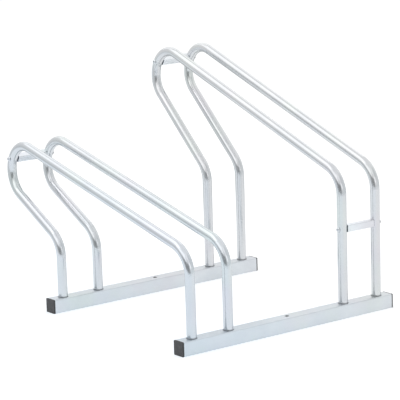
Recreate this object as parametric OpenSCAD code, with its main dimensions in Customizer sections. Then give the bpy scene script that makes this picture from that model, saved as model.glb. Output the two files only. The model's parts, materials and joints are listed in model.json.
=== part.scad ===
// Floor rack for two bicycles. One bicycle stands low and the other high, so that the handlebars clear.
// Two square rails lie on the ground. Each pair of bent hoops holds a wheel between its two tubes.
// +X runs along the rails, +Y from the front rail to the rear rail and +Z up.
// The origin is on the ground, midway between the two anchor holes.

/* [Rails] */
// Outer side of the square rail tube
rail_side = 30; // [28:1:40]
// Wall of the rail tube
rail_wall = 1.5; // [1.2:0.1:2.4]
// Outer corner radius of the rail tube
rail_corner = 2.5; // [2.5:0.1:4]
// Distance between the centre lines of the two rails
rail_spacing = 450; // [380:5:560]
// Length of each rail beyond its outermost hoop
rail_overhang = 30; // [28:1:80]
// Diameter of the anchor hole in the middle of each rail
anchor_d = 9; // [6:0.5:14]

/* [Places for the wheels] */
// Clear width between the two hoops that hold a wheel
slot_width = 71; // [50:1:90]
// Distance between the middles of the two wheel places
bay_spacing = 392; // [300:1:600]

/* [Hoops] */
// Outer diameter of the hoop tube
tube_d = 20; // [16:0.5:22]
// Wall of the hoop tube
tube_wall = 1.5; // [1.2:0.1:2]
// Radius of every bend, at the tube's centre line
bend_radius = 58; // [45:1:64]
// How far the hoops reach behind the centre line of the rear rail
hoop_reach = 188; // [160:1:230]
// Top of the low hoops above the ground
low_height = 347; // [320:1:400]
// Height at which a low hoop's front post starts to bend
low_front_post = 154; // [110:1:180]
// Height at which a low hoop's rear post starts to bend
low_rear_post = 114; // [80:1:130]
// Top of the high hoops above the ground
high_height = 508; // [460:1:560]
// Height at which a high hoop's front post starts to bend
high_front_post = 256; // [220:1:290]
// Height at which a high hoop's rear post starts to bend
high_rear_post = 221; // [180:1:250]

/* [Braces] */
// Outer side of the square brace tube
brace_side = 15; // [13:0.5:18]
// Wall of the brace tube
brace_wall = 1.5; // [1:0.1:2]
// Outer corner radius of the brace tube
brace_corner = 2; // [2:0.1:3]
// Place of the low rear brace on the top bend, in degrees above level
low_brace_angle = 26; // [10:1:50]
// Place of the high rear brace on the top bend, in degrees above level
high_brace_angle = 33; // [10:1:50]
// Height of the high front brace's centre above the ground
front_brace_height = 186; // [120:1:210]

/* [Screws and inserts] */
// Thread diameter of every screw
screw_d = 6; // [5:0.5:7]
// Diameter of a brace screw's round head
round_head_d = 10.5; // [9.5:0.5:12]
// Height of a brace screw's round head
round_head_h = 3.3; // [2.5:0.1:4]
// Diameter of a foot screw's sunk head
sunk_head_d = 12; // [11:0.5:13]
// Width across the flats of the socket in every head
socket_width = 4; // [3:0.5:4.5]
// Depth of the socket in every head
socket_depth = 2; // [1:0.1:2.4]
// Length of screw inside a brace insert
brace_screw_bite = 16; // [10:1:18]
// Length of a brace insert
brace_insert_length = 20; // [19:1:28]
// Length of screw inside a foot insert
foot_screw_bite = 18; // [10:1:20]
// Length of a foot insert
foot_insert_length = 22; // [21:1:40]

/* [End caps] */
// Thickness of a cap's outer flange
cap_flange = 3.5; // [2:0.5:6]
// Radius round the flange's outer edge
cap_edge = 1; // [0.4:0.1:1.5]
// Depth of a cap's plug in the rail
plug_depth = 14; // [10:1:16]
// Wall of a cap's plug
plug_wall = 1.8; // [1.2:0.1:3]
// Gap between the plug's walls and the rail
plug_gap = 1.2; // [0.8:0.1:2]
// Number of gripping ribs round a plug
rib_count = 3; // [1:1:4]
// Thickness of a gripping rib
rib_thickness = 1; // [0.6:0.1:1.6]

/* [Clearances] */
// Gap round each foot in the rail's upper wall
foot_clear = 0.6; // [0.3:0.1:1.5]
// Gap round a screw in a hole that it passes through
hole_clear = 0.3; // [0.1:0.1:0.6]
// Gap between an insert and the tube it is pressed into, and round a screw in its thread
fit_clear = 0.05; // [0.02:0.01:0.1]
// Gap where a flat face bears on a round tube
seat_clear = 0.1; // [0.06:0.01:0.3]
// Depth of a foot screw's head below the rail's underside
sink_depth = 0.3; // [0.1:0.1:0.5]

/* [Hidden] */
$fn = 64;
// Length by which a cutting solid passes the face it opens
cut = 1;
// Bending leaves the wall a hair thicker than in the straight runs, which reach this far into a bend
bend_swell = 0.05;
run_lap = 0.2;
zinc = [0.80, 0.83, 0.87];
steel = [0.70, 0.72, 0.75];
plastic = [0.10, 0.10, 0.11];

tube_r = tube_d / 2;
hoop_pitch = slot_width + tube_d;
// The outermost hoops and the ends of the rail tubes, from the middle
outer_hoop_x = (bay_spacing + hoop_pitch) / 2;
rail_length = 2 * (outer_hoop_x + rail_overhang);
rail_bore = rail_side - 2 * rail_wall;
brace_bore = brace_side - 2 * brace_wall;
// Centre of the top bend behind the middle of the rack, and its depth below a hoop's top
top_bend_y = rail_spacing / 2 + hoop_reach - tube_r - bend_radius;
top_bend_drop = tube_r + bend_radius;
foot_insert_d = tube_d - 2 * tube_wall - 2 * fit_clear;
brace_insert_side = brace_bore - 2 * fit_clear;
brace_length = slot_width - 2 * seat_clear;
// The sunk head narrows to the thread at 45 degrees
sunk_head_h = (sunk_head_d - screw_d) / 2;

// Each rail: name and y
RAILS = [["front", -rail_spacing / 2], ["rear", rail_spacing / 2]];
// Each end of a rail or brace: name and direction along X
ENDS = [["left", -1], ["right", 1]];
// Each pair of hoops: name, x of its middle, height, front post and rear post
PAIRS = [
    ["low", -bay_spacing / 2, low_height, low_front_post, low_rear_post],
    ["high", bay_spacing / 2, high_height, high_front_post, high_rear_post]
];
// Each brace: name, the pair it joins, [y, z] of its centre and its tilt about X
BRACES = [
    ["low_rear", PAIRS[0], on_top_bend(PAIRS[0], low_brace_angle), low_brace_angle],
    ["high_rear", PAIRS[1], on_top_bend(PAIRS[1], high_brace_angle), high_brace_angle],
    ["high_front", PAIRS[1], [-rail_spacing / 2, front_brace_height], 0]
];

function hoop_x(pair, end) = pair[1] + end[1] * hoop_pitch / 2;

function along(angle) = [cos(angle), sin(angle)];

// [y, z] of a hoop's three bend centres
function front_bend(pair) = [-rail_spacing / 2 + bend_radius, pair[3]];
function top_bend(pair) = [top_bend_y, pair[2] - top_bend_drop];
function rear_bend(pair) = [rail_spacing / 2 + bend_radius, pair[4]];

// [y, z] of a place on the tube's centre line round the top bend
function on_top_bend(pair, angle) = top_bend(pair) + bend_radius * along(angle);

function direction(from, to) = atan2(to[1] - from[1], to[0] - from[0]);

// Slope of the long run: it touches the front and top bends on the same side
function slope(pair) = direction(front_bend(pair), top_bend(pair));

// Slope of the short run: it crosses over between the rear and top bends
function lean(pair) = direction(rear_bend(pair), top_bend(pair))
    - asin(2 * bend_radius / norm(top_bend(pair) - rear_bend(pair)));

// A square with round corners
module rounded_square(side, radius) {
    square([side, side - 2 * radius], center = true);
    square([side - 2 * radius, side], center = true);
    for (x = [-1, 1], y = [-1, 1])
        translate([x, y] * (side / 2 - radius)) circle(r = radius);
}

// A square tube along X, centred on the origin
module square_tube(length, side, wall, corner) {
    rotate([90, 0, 90]) linear_extrude(length, center = true) difference() {
        rounded_square(side, corner);
        rounded_square(side - 2 * wall, corner - wall);
    }
}

// Section of the hoop tube, with both faces of its wall pushed out by a swell
module tube_section(swell = 0) {
    difference() {
        circle(r = tube_r + swell);
        circle(r = tube_r - tube_wall - swell);
    }
}

// A straight run of hoop tube between two points of the plane, lapped at both ends
module run(from, to) {
    translate(from) rotate([0, 0, direction(from, to)]) rotate([0, 90, 0])
        translate([0, 0, -run_lap]) linear_extrude(norm(to - from) + 2 * run_lap) tube_section();
}

// A bend of the hoop tube round a centre, anticlockwise between two angles
module bend(centre, from, to) {
    translate(centre) rotate([0, 0, from])
        rotate_extrude(angle = to - from) translate([bend_radius, 0]) tube_section(bend_swell);
}

// A hoop's tube, lying in the plane that it is bent in, from its front foot to its rear foot
module bent_tube(pair) {
    sloping = slope(pair) + 90;
    leaning = lean(pair) + 90;
    front_foot = [-rail_spacing / 2, rail_wall + run_lap];
    rear_foot = [rail_spacing / 2, rail_wall + run_lap];
    run(front_foot, [front_foot[0], pair[3]]);
    bend(front_bend(pair), sloping, 180);
    run(front_bend(pair) + bend_radius * along(sloping), top_bend(pair) + bend_radius * along(sloping));
    bend(top_bend(pair), leaning - 180, sloping);
    run(rear_bend(pair) + bend_radius * along(leaning), top_bend(pair) - bend_radius * along(leaning));
    bend(rear_bend(pair), leaning, 180);
    run(rear_foot, [rear_foot[0], pair[4]]);
}

// Turns the plane of a bent tube upright: its x becomes Y and its y becomes Z
module upright(x) {
    translate([x, 0, 0]) rotate([90, 0, 90]) children();
}

// Round head and thread of a brace screw along +X, with the head's flat face at the origin
module brace_screw() {
    length = seat_clear + tube_d + seat_clear + brace_screw_bite;
    dome_r = (pow(round_head_d / 2, 2) + pow(round_head_h, 2)) / (2 * round_head_h);
    color(steel) rotate([0, 90, 0]) {
        cylinder(d = screw_d, h = length);
        difference() {
            intersection() {
                translate([0, 0, dome_r - round_head_h]) sphere(r = dome_r);
                translate([0, 0, -round_head_h]) cylinder(d = round_head_d, h = round_head_h);
            }
            translate([0, 0, -round_head_h]) socket();
        }
    }
}

// The hexagonal recess that turns a screw, cut up from the plane at its mouth
module socket() {
    translate([0, 0, -cut]) cylinder(d = socket_width / cos(30), h = cut + socket_depth, $fn = 6);
}

// Sunk head and thread of a foot screw along +Z, from the rail's underside, widened by a gap
module foot_screw_body(thread_gap, head_gap, length) {
    translate([0, 0, sink_depth])
        cylinder(d1 = sunk_head_d + 2 * head_gap, d2 = screw_d + 2 * head_gap, h = sunk_head_h);
    translate([0, 0, sink_depth]) cylinder(d = screw_d + 2 * thread_gap, h = length - sink_depth);
}

module foot_screw(pair, end, rail) {
    color(steel) translate([hoop_x(pair, end), rail[1], 0]) difference() {
        foot_screw_body(0, 0, rail_wall + foot_screw_bite);
        translate([0, 0, sink_depth]) socket();
    }
}

// The opening that a foot screw's head lies in
module sunk_hole() {
    translate([0, 0, -cut]) cylinder(d = sunk_head_d + 2 * fit_clear, h = cut + sink_depth);
    foot_screw_body(hole_clear, fit_clear, rail_wall + cut);
}

module foot_insert(pair, end, rail) {
    color(steel) translate([hoop_x(pair, end), rail[1], 0]) difference() {
        translate([0, 0, rail_wall]) cylinder(d = foot_insert_d, h = foot_insert_length);
        foot_screw_body(fit_clear, fit_clear, rail_wall + foot_insert_length + cut);
    }
}

module rail(rail) {
    color(zinc) translate([0, rail[1], 0]) difference() {
        translate([0, 0, rail_side / 2]) square_tube(rail_length, rail_side, rail_wall, rail_corner);
        translate([0, 0, -cut]) cylinder(d = anchor_d, h = rail_side + 2 * cut);
        for (pair = PAIRS, end = ENDS) translate([hoop_x(pair, end), 0, 0]) {
            sunk_hole();
            translate([0, 0, rail_side / 2]) cylinder(d = tube_d + 2 * foot_clear, h = rail_side);
        }
    }
}

// A cap on the +X end of a rail, with its flange's inner face at the origin
module cap() {
    flange_side = rail_side;
    plug_side = rail_bore - 2 * plug_gap;
    rib_side = rail_bore - 2 * fit_clear;
    rib_pitch = plug_depth / (rib_count + 1);
    rotate([90, 0, 90]) {
        difference() {
            linear_extrude(cap_flange) rounded_square(flange_side, rail_corner);
            for (turn = [0:90:270]) rotate([0, 0, turn]) edge_cutter(flange_side);
        }
        difference() {
            translate([0, 0, -plug_depth]) union() {
                linear_extrude(plug_depth) square(plug_side, center = true);
                for (i = [1:rib_count]) translate([0, 0, i * rib_pitch - rib_thickness])
                    linear_extrude(rib_thickness) square(rib_side, center = true);
            }
            translate([0, 0, -plug_depth - cut]) linear_extrude(plug_depth + cut)
                square(plug_side - 2 * plug_wall, center = true);
        }
    }
}

// What is cut away to round one outer edge of a cap's flange
module edge_cutter(side) {
    translate([side / 2 - cap_edge, 0, cap_flange - cap_edge]) rotate([90, 0, 0])
        linear_extrude(side + 2 * cut, center = true) difference() {
            square(cap_edge + cut);
            circle(r = cap_edge);
        }
}

module rail_cap(rail, end) {
    color(plastic) translate([end[1] * rail_length / 2, rail[1], rail_side / 2])
        mirror([end[1] < 0 ? 1 : 0, 0, 0]) cap();
}

module hoop(pair, end) {
    color(zinc) upright(hoop_x(pair, end)) difference() {
        bent_tube(pair);
        for (brace = BRACES) if (brace[1] == pair)
            translate(brace[2]) cylinder(d = screw_d + 2 * hole_clear, h = tube_d + 2 * cut, center = true);
    }
}

// Puts what is drawn along X, about the origin, on a brace's centre line
module at_brace(brace) {
    translate([brace[1][1], brace[2][0], brace[2][1]]) rotate([brace[3], 0, 0]) children();
}

module brace(brace) {
    color(zinc) at_brace(brace) square_tube(brace_length, brace_side, brace_wall, brace_corner);
}

module brace_insert(brace, end) {
    middle = end[1] * (brace_length - brace_insert_length) / 2;
    color(steel) at_brace(brace) translate([middle, 0, 0]) rotate([90, 0, 90])
        linear_extrude(brace_insert_length, center = true) difference() {
            rounded_square(brace_insert_side, brace_corner - brace_wall);
            circle(d = screw_d + 2 * fit_clear);
        }
}

module placed_brace_screw(brace, end) {
    head = hoop_pitch / 2 + tube_r + seat_clear;
    at_brace(brace) mirror([end[1] > 0 ? 1 : 0, 0, 0]) translate([-head, 0, 0]) brace_screw();
}

for (r = RAILS) {
    rail(r);
    for (e = ENDS)
        rail_cap(r, e);
}
for (p = PAIRS) for (e = ENDS) {
    hoop(p, e);
    for (r = RAILS) {
        foot_insert(p, e, r);
        foot_screw(p, e, r);
    }
}
for (b = BRACES) {
    brace(b);
    for (e = ENDS) {
        brace_insert(b, e);
        placed_brace_screw(b, e);
    }
}
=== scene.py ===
import json
import math

import bpy
from mathutils import Matrix, Vector

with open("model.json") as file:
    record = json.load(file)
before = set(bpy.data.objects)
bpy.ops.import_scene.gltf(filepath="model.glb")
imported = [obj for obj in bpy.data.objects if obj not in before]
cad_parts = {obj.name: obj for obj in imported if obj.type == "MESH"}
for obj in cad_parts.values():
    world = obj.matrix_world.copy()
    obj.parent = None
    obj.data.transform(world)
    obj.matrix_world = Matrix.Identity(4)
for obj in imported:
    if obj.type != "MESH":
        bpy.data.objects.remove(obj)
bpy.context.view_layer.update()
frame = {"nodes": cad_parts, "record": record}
nodes = frame["nodes"]

# Camera, fitted to the photograph's perspective in an image of 400 x 400
AZIMUTH = math.radians(-37.08)
ELEVATION = math.radians(11.90)
ROLL = math.radians(-1.71)
DISTANCE = 4.59421
TARGET = Vector((0.00683, 0.06338, 0.22521))
IMAGE = 400
FOCAL_PIXELS = 2181.67
SENSOR = 36.0
CLIP_START = 0.1
CLIP_END = 100.0

# World: the levels at which it is seen and at which it lights the object, where 1 is white
WHITE = (1.0, 1.0, 1.0, 1.0)
WORLD_SEEN = 1.0
WORLD_LIGHT = 0.75

# Floor: half its side in metres, two shades and the scale and detail of the noise between them
FLOOR_HALF = 30.0
FLOOR_SHADES = ((0.59, 0.59, 0.59), (0.61, 0.61, 0.61))
FLOOR_CLOUDS = (3.0, 2.0)
# Its glow is cooler on the left: strength, where along X it changes, and its colours at both ends
FLOOR_GLOW = 0.60
FLOOR_CAST_X = (-0.5, 0.3)
FLOOR_CASTS = ((0.90, 0.985, 1.06), (0.98, 1.0, 1.01))

# Boards that only reflections show, each along an arc round the object. In degrees from the front
# (-Y) towards +X: the arc's middle, half its width and the softness of its ends. In metres: radius
# and height of the board's low and high edge, and the heights where it fades in and out. Climb is
# how much the upper fade rises in a radian of the turn. floor_flag lies flat, so its edges differ
# in radius, and it fades by the distance from its inner edge.
FLAGS = {
    "side_flag": dict(middle=-70, half=64, soft=26, low=(2.6, -0.1), high=(2.6, 1.7),
                      fade_in=(0.0, 0.08), fade_out=(0.98, 1.20), climb=0.30, level=0.38),
    "front_flag": dict(middle=42, half=62, soft=20, low=(2.6, -0.1), high=(2.6, 0.9),
                       fade_in=(0.0, 0.08), fade_out=(0.35, 0.8), climb=0.0, level=0.93),
    "floor_flag": dict(middle=143, half=52, soft=22, low=(0.7, 0.004), high=(3.4, 0.004),
                       fade_in=(0.1, 0.5), fade_out=(2.0, 2.7), climb=0.0, level=0.62),
    "rear_flag": dict(middle=-125, half=42, soft=20, low=(1.5, -0.02), high=(1.5, 1.0),
                      fade_in=(0.0, 0.03), fade_out=(0.4, 0.85), climb=0.0, level=0.82),
    "corner_flag": dict(middle=38, half=34, soft=22, low=(2.6, 0.5), high=(2.6, 3.6),
                        fade_in=(0.6, 1.2), fade_out=(2.6, 3.4), climb=0.0, level=0.86),
}
FLAG_COLOR = (0.96, 0.99, 1.0, 1.0)
FLAG_STEPS = 48

# Soft lamps, all turned to one point: place and size in metres, and how much brighter than what
# lies behind it a lamp's face shows in a reflection
LAMPS = {
    "top_light": dict(place=(0.0, 0.0, 3.4), size=(4.0, 4.0), glow=0.06),
    "key_light": dict(place=(-1.25, 1.2, 2.8), size=(2.8, 2.2), glow=0.42),
    "left_light": dict(place=(-2.4, -0.4, 2.1), size=(2.6, 1.7), glow=0.36),
    "front_light": dict(place=(-0.3, -2.75, 1.15), size=(1.9, 0.9), glow=0.32),
    "high_light": dict(place=(-0.9, -2.3, 2.9), size=(2.2, 1.2), glow=0.16),
    "right_light": dict(place=(2.5, 0.5, 1.8), size=(2.2, 1.4), glow=0.14),
    "back_light": dict(place=(1.35, 2.35, 2.2), size=(3.6, 1.7), glow=0.34),
}
LAMPS_AIM = Vector((0.0, 0.0, 0.2))
# A lamp's power over its area where its face shows at a level of 1
POWER_OF_GLOW = 4.0

# Noise patterns: scale, detail, roughness and stretch, then the levels that become 0 and 1
PATTERNS = {
    "cloud": (16.0, 4.0, 0.55, (1, 1, 1), 0.35, 0.65),
    "fleck": (260.0, 3.0, 0.6, (1, 1, 1), 0.42, 0.62),
    "blush": (7.0, 2.0, 0.5, (1.0, 1.0, 1.6), 0.48, 0.70),
    "green": (9.0, 2.0, 0.5, (1.3, 1.0, 1.0), 0.50, 0.70),
    "scuff": (120.0, 4.0, 0.6, (1, 1, 1), 0.45, 0.75),
}
# Fine grain: scale, detail and roughness of the noise, and the strength of its bump
STEEL_GRAIN = (900.0, 2.0, 0.5)
STEEL_BUMP = 0.25
PLASTIC_GRAIN = (1400.0, 2.0, 0.6)
PLASTIC_BUMP = 0.35
PLASTIC_DEPTH = 0.0003

# Colours that the plating drifts to, and at most how far
BLUSH = (0.66, 0.62, 0.66)
BLUSH_SHARE = 0.45
GREEN = (0.63, 0.69, 0.64)
GREEN_SHARE = 0.45
FLECK = (0.88, 0.91, 0.95)
FLECK_SHARE = 0.05
# The plating is cooler at the front left corner: the weight of Y beside X, where along their sum
# this fades, and its share at both ends
BLUE = (0.50, 0.67, 0.80)
BLUE_Y_WEIGHT = 0.5
BLUE_FADE = (-0.35, 0.15, 0.2, 0.0)
# Wear is the mean of flecks and grain: how far it takes the roughness down and up, and at which levels
SMOOTHER = 0.04
ROUGHER = 0.06
WEAR_LEVELS = (0.2, 0.8)
# Painted shade at the hoops' feet and round the rails' holes: its colour, and how rough it makes the
# steel
FOOT_SHADE = (0.16, 0.16, 0.17)
FOOT_SHADE_ROUGHNESS = 0.7

BLACK = (0.045, 0.045, 0.05)
SCUFFED = (0.075, 0.075, 0.08)
# The grain's levels, and the plastic's roughness at both
PLASTIC_ROUGHNESS = (0.3, 0.7, 0.42, 0.62)

# Where the hoops' feet stand: the pairs' middles and half their pitch along X, the rails along Y
BAY_X = 0.196
HALF_PITCH = 0.0455
RAIL_Y = 0.225
# Painted shade rings on the rails round the feet, for the gap's shadow: inner radius and width. Each
# is lighter at the front and back than at its sides, and fades in just under the rail's top.
FOOT_R = 0.0106
RING_WIDTH = 0.0016
RING_SIDES = (0.35, 0.85, 0.35, 1.0)
RING_HEIGHTS = (0.026, 0.028, 0.0, 0.7)
# Painted shade on a hoop's foot, which fades out above the rail's top
FOOT_HEIGHTS = (0.0295, 0.0335, 0.7, 0.0)

# The colour sockets of a Mix node, whose names are shared with its other sockets
MIX_A = 6
MIX_B = 7
MIX_RESULT = 2


def make_camera():
    """The camera at the photograph's place, with its slight roll."""
    reach = math.cos(ELEVATION)
    back = Vector((math.sin(AZIMUTH) * reach, -math.cos(AZIMUTH) * reach, math.sin(ELEVATION)))
    level = Vector((math.cos(AZIMUTH), math.sin(AZIMUTH), 0.0))
    upright = back.cross(level)
    right = level * math.cos(ROLL) + upright * math.sin(ROLL)
    up = upright * math.cos(ROLL) - level * math.sin(ROLL)
    data = bpy.data.cameras.new("camera")
    data.sensor_width = SENSOR
    data.sensor_fit = "HORIZONTAL"
    data.lens = FOCAL_PIXELS / IMAGE * SENSOR
    data.clip_start = CLIP_START
    data.clip_end = CLIP_END
    camera = bpy.data.objects.new("camera", data)
    bpy.context.scene.collection.objects.link(camera)
    axes = Matrix((right, up, back)).transposed().to_4x4()
    camera.matrix_world = Matrix.Translation(TARGET + back * DISTANCE) @ axes
    bpy.context.scene.camera = camera


class Tree:
    """A material's or the world's nodes, added and joined in short calls."""

    def __init__(self, owner):
        owner.use_nodes = True
        self.nodes = owner.node_tree.nodes
        self.links = owner.node_tree.links
        self.nodes.clear()

    def add(self, kind, inputs=(), **settings):
        node = self.nodes.new(kind)
        for name, value in settings.items():
            setattr(node, name, value)
        for name, value in dict(inputs).items():
            self.put(value, node.inputs[name])
        return node

    def put(self, value, socket):
        if isinstance(value, bpy.types.NodeSocket):
            self.links.new(value, socket)
        else:
            socket.default_value = value

    def object_place(self):
        return self.add("ShaderNodeTexCoord").outputs["Object"]

    def split(self, place):
        return self.add("ShaderNodeSeparateXYZ", {"Vector": place}).outputs

    def noise(self, place, scale, detail, roughness=0.5, stretch=(1, 1, 1)):
        mapped = self.add("ShaderNodeMapping", {"Vector": place, "Scale": stretch})
        texture = self.add("ShaderNodeTexNoise", {
            "Vector": mapped.outputs[0], "Scale": scale, "Detail": detail, "Roughness": roughness})
        return texture.outputs["Fac"]

    def spread(self, value, low, high, to_low=0.0, to_high=1.0):
        """Maps low..high of a value on to to_low..to_high, and holds it there."""
        mapped = self.add("ShaderNodeMapRange", {
            "Value": value, "From Min": low, "From Max": high, "To Min": to_low, "To Max": to_high})
        return mapped.outputs["Result"]

    def pattern(self, place, kind):
        """One of the noise patterns, from 0 to 1."""
        scale, detail, roughness, stretch, low, high = PATTERNS[kind]
        return self.spread(self.noise(place, scale, detail, roughness, stretch), low, high)

    def math(self, operation, a, b=0.0):
        node = self.nodes.new("ShaderNodeMath")
        node.operation = operation
        self.put(a, node.inputs[0])
        self.put(b, node.inputs[1])
        return node.outputs[0]

    def times(self, a, b):
        return self.math("MULTIPLY", a, b)

    def mix(self, share, a, b):
        node = self.nodes.new("ShaderNodeMix")
        node.data_type = "RGBA"
        self.put(share, node.inputs["Factor"])
        for color, index in ((a, MIX_A), (b, MIX_B)):
            linked = isinstance(color, bpy.types.NodeSocket)
            self.put(color if linked else (*color, 1.0), node.inputs[index])
        return node.outputs[MIX_RESULT]

    def bump(self, height, strength, distance):
        bumped = self.add("ShaderNodeBump", {
            "Height": height, "Strength": strength, "Distance": distance})
        return bumped.outputs[0]

    def finish_material(self, shader):
        self.add("ShaderNodeOutputMaterial", {"Surface": shader.outputs[0]})

    def finish_world(self, shader):
        self.add("ShaderNodeOutputWorld", {"Surface": shader.outputs[0]})


def plated_steel(name, pale, deep, rough, grain_depth, grain_stretch=(1, 1, 1), painted_shade=None, edge=1.0):
    """Zinc plating over drawn steel: clouds, faint casts, grain along the stock, and painted shade
    where a mask is given.
    """
    material = bpy.data.materials.new(name)
    tree = Tree(material)
    place = tree.object_place()
    fleck = tree.pattern(place, "fleck")
    grain = tree.noise(place, *STEEL_GRAIN, grain_stretch)
    split = tree.split(place)
    from_corner = tree.math("ADD", split["X"], tree.times(split["Y"], BLUE_Y_WEIGHT))
    tint = tree.mix(tree.pattern(place, "cloud"), deep, pale)
    tint = tree.mix(tree.times(tree.pattern(place, "blush"), BLUSH_SHARE), tint, BLUSH)
    tint = tree.mix(tree.times(tree.pattern(place, "green"), GREEN_SHARE), tint, GREEN)
    tint = tree.mix(tree.spread(from_corner, *BLUE_FADE), tint, BLUE)
    tint = tree.mix(tree.times(fleck, FLECK_SHARE), tint, FLECK)
    wear = tree.math("ADD", tree.times(fleck, 0.5), tree.times(grain, 0.5))
    roughness = tree.spread(wear, *WEAR_LEVELS, rough - SMOOTHER, rough + ROUGHER)
    # Painted shade: the given mask darkens the tint towards the shade colour and roughens the steel
    if painted_shade:
        shade_mark = painted_shade(tree, place)
        tint = tree.mix(shade_mark, tint, FOOT_SHADE)
        roughness = tree.spread(shade_mark, 0.0, 1.0, roughness, FOOT_SHADE_ROUGHNESS)
    tree.finish_material(tree.add("ShaderNodeBsdfPrincipled", {
        "Base Color": tint,
        "Metallic": 1.0,
        "Roughness": roughness,
        "Specular Tint": (edge, edge, edge, 1.0),
        "Normal": tree.bump(grain, STEEL_BUMP, grain_depth),
    }))
    return material


def rail_hole_shade(tree, place):
    """Painted shade round the rails' holes for the feet: a dark ring for the gap's shadow round each
    foot.
    """
    split = tree.split(place)
    in_bay = tree.math("ABSOLUTE", tree.math("SUBTRACT", tree.math("ABSOLUTE", split["X"]), BAY_X))
    x = tree.math("SUBTRACT", in_bay, HALF_PITCH)
    y = tree.math("SUBTRACT", tree.math("ABSOLUTE", split["Y"]), RAIL_Y)
    away = tree.math("SQRT", tree.math("ADD", tree.times(x, x), tree.times(y, y)))
    ring = tree.spread(away, FOOT_R, FOOT_R + RING_WIDTH, 1.0, 0.0)
    side = tree.math("DIVIDE", tree.math("ABSOLUTE", x), away)
    ring = tree.times(ring, tree.spread(side, *RING_SIDES))
    return tree.times(ring, tree.spread(split["Z"], *RING_HEIGHTS))


def hoop_foot_shade(tree, place):
    """Painted shade round a hoop's foot, just above the rail."""
    return tree.spread(tree.split(place)["Z"], *FOOT_HEIGHTS)


def black_plastic():
    """Moulded black plastic with a fine spark-eroded grain."""
    material = bpy.data.materials.new("black_plastic")
    tree = Tree(material)
    place = tree.object_place()
    grain = tree.noise(place, *PLASTIC_GRAIN)
    tree.finish_material(tree.add("ShaderNodeBsdfPrincipled", {
        "Base Color": tree.mix(tree.pattern(place, "scuff"), BLACK, SCUFFED),
        "Roughness": tree.spread(grain, *PLASTIC_ROUGHNESS),
        "Normal": tree.bump(grain, PLASTIC_BUMP, PLASTIC_DEPTH),
    }))
    return material


def make_materials():
    """One material for each of the record's material slots. Rails and braces have long grain."""
    return {
        "hoop_steel": plated_steel(
            "zinc_hoop", pale=(0.634, 0.643, 0.657), deep=(0.587, 0.601, 0.619), rough=0.17,
            grain_depth=0.00002, painted_shade=hoop_foot_shade, edge=0.9),
        "rail_steel": plated_steel(
            "zinc_rail", pale=(0.678, 0.710, 0.738), deep=(0.628, 0.660, 0.694), rough=0.38,
            grain_depth=0.00003, grain_stretch=(0.02, 1, 1), painted_shade=rail_hole_shade, edge=0.86),
        "brace_steel": plated_steel(
            "zinc_brace", pale=(0.79, 0.82, 0.85), deep=(0.76, 0.79, 0.82), rough=0.42,
            grain_depth=0.00001, grain_stretch=(0.03, 1, 1)),
        "screw_steel": plated_steel(
            "zinc_screw", pale=(0.68, 0.70, 0.74), deep=(0.56, 0.58, 0.62), rough=0.28,
            grain_depth=0.00004),
        "insert_steel": plated_steel(
            "zinc_insert", pale=(0.62, 0.64, 0.68), deep=(0.50, 0.52, 0.56), rough=0.35,
            grain_depth=0.00004),
        "cap_plastic": black_plastic(),
    }


def dress_nodes(materials):
    """Gives each of the CAD's nodes the material of its slot."""
    slots = {part["node"]: part["material_slot"] for part in frame["record"]["subparts"]}
    for name, piece in nodes.items():
        piece.data.materials.clear()
        piece.data.materials.append(materials[slots[name]])


def seen_directly(tree):
    """1 for the camera's own rays, reflections and what is seen through glass, else 0."""
    path = tree.add("ShaderNodeLightPath").outputs
    seen = tree.math("MAXIMUM", path["Is Camera Ray"], path["Is Glossy Ray"])
    return tree.math("MAXIMUM", seen, path["Is Transmission Ray"])


def make_world():
    """A world that is seen white and lights the object a little less than that."""
    world = bpy.data.worlds.new("studio")
    bpy.context.scene.world = world
    tree = Tree(world)
    seen = seen_directly(tree)
    light = tree.add("ShaderNodeBackground", {"Color": WHITE, "Strength": WORLD_LIGHT})
    backdrop = tree.add("ShaderNodeBackground", {"Color": WHITE, "Strength": WORLD_SEEN})
    tree.finish_world(tree.add("ShaderNodeMixShader", {
        0: seen, 1: light.outputs[0], 2: backdrop.outputs[0]}))


def stage_mesh(name, points, faces, material):
    """A mesh that belongs to the studio and not to the object."""
    mesh = bpy.data.meshes.new(name)
    mesh.from_pydata(points, [], faces)
    mesh.materials.append(material)
    piece = bpy.data.objects.new(name, mesh)
    bpy.context.scene.collection.objects.link(piece)
    return piece


def make_floor():
    """A pale floor that takes the object's shadow, with a glow that brings it up to white."""
    material = bpy.data.materials.new("pale_floor")
    tree = Tree(material)
    place = tree.object_place()
    shade = tree.mix(tree.noise(place, *FLOOR_CLOUDS), *FLOOR_SHADES)
    paint = tree.add("ShaderNodeBsdfDiffuse", {"Color": shade})
    cast = tree.mix(tree.spread(tree.split(place)["X"], *FLOOR_CAST_X), *FLOOR_CASTS)
    strength = tree.times(seen_directly(tree), FLOOR_GLOW)
    glow = tree.add("ShaderNodeEmission", {"Color": cast, "Strength": strength})
    tree.finish_material(tree.add("ShaderNodeAddShader", {0: paint.outputs[0], 1: glow.outputs[0]}))
    half = FLOOR_HALF
    corners = [(-half, -half, 0), (half, -half, 0), (half, half, 0), (-half, half, 0)]
    stage_mesh("floor", corners, [(0, 1, 2, 3)], material)


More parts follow.
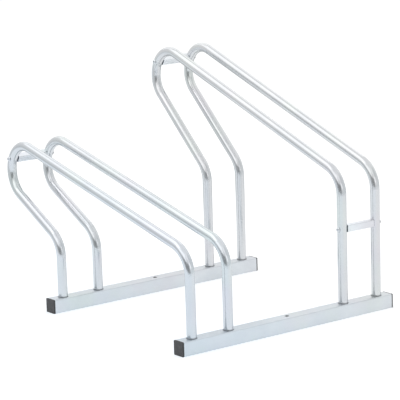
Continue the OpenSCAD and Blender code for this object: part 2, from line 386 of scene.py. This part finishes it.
def flag_material(name, half, soft, low, high, fade_in, fade_out, climb, level):
    """An even glow that fades to clear at the board's four edges."""
    material = bpy.data.materials.new(name)
    tree = Tree(material)
    place = tree.object_place()
    split = tree.split(place)
    turn = tree.math("ARCTAN2", split["X"], tree.times(split["Y"], -1.0))
    if low[0] == high[0]:
        along = split["Z"]
    else:
        flat = tree.add("ShaderNodeVectorMath", {0: place, 1: (1.0, 1.0, 0.0)}, operation="MULTIPLY")
        reach = tree.add("ShaderNodeVectorMath", {0: flat.outputs["Vector"]}, operation="LENGTH")
        along = tree.math("SUBTRACT", reach.outputs["Value"], low[0])
    from_middle = tree.math("ABSOLUTE", turn)
    ends = tree.spread(from_middle, math.radians(half - soft), math.radians(half), 1.0, 0.0)
    climbed = tree.math("SUBTRACT", along, tree.times(turn, climb))
    band = tree.times(tree.spread(along, *fade_in), tree.spread(climbed, *fade_out, 1.0, 0.0))
    clear = tree.add("ShaderNodeBsdfTransparent")
    board = tree.add("ShaderNodeEmission", {"Color": FLAG_COLOR, "Strength": level})
    tree.finish_material(tree.add("ShaderNodeMixShader", {
        0: tree.times(ends, band), 1: clear.outputs[0], 2: board.outputs[0]}))
    return material


def make_flag(name, middle, half, low, high, **look):
    """A curved board that is seen in reflections only and takes no light away."""
    turns = [math.radians(half * (2 * i / FLAG_STEPS - 1)) for i in range(FLAG_STEPS + 1)]
    points = [(r * math.sin(t), -r * math.cos(t), z) for t in turns for r, z in (low, high)]
    faces = [(2 * i, 2 * i + 2, 2 * i + 3, 2 * i + 1) for i in range(FLAG_STEPS)]
    material = flag_material(name, half=half, low=low, high=high, **look)
    flag = stage_mesh(name, points, faces, material)
    flag.rotation_euler.z = math.radians(middle)
    flag.visible_camera = False
    flag.visible_diffuse = False
    flag.visible_shadow = False
    flag.visible_transmission = False


def area_light(name, place, size, glow):
    """A soft rectangular lamp, turned to the object and not seen by the camera itself."""
    data = bpy.data.lights.new(name, "AREA")
    data.shape = "RECTANGLE"
    data.size = size[0]
    data.size_y = size[1]
    data.energy = glow * POWER_OF_GLOW * size[0] * size[1]
    lamp = bpy.data.objects.new(name, data)
    lamp.location = place
    lamp.rotation_euler = (LAMPS_AIM - Vector(place)).to_track_quat("-Z", "Y").to_euler()
    lamp.visible_camera = False
    bpy.context.scene.collection.objects.link(lamp)


make_camera()
dress_nodes(make_materials())
make_world()
make_floor()
for name, values in FLAGS.items():
    make_flag(name, **values)
for name, values in LAMPS.items():
    area_light(name, **values)
bpy.context.scene.view_settings.view_transform = "Standard"
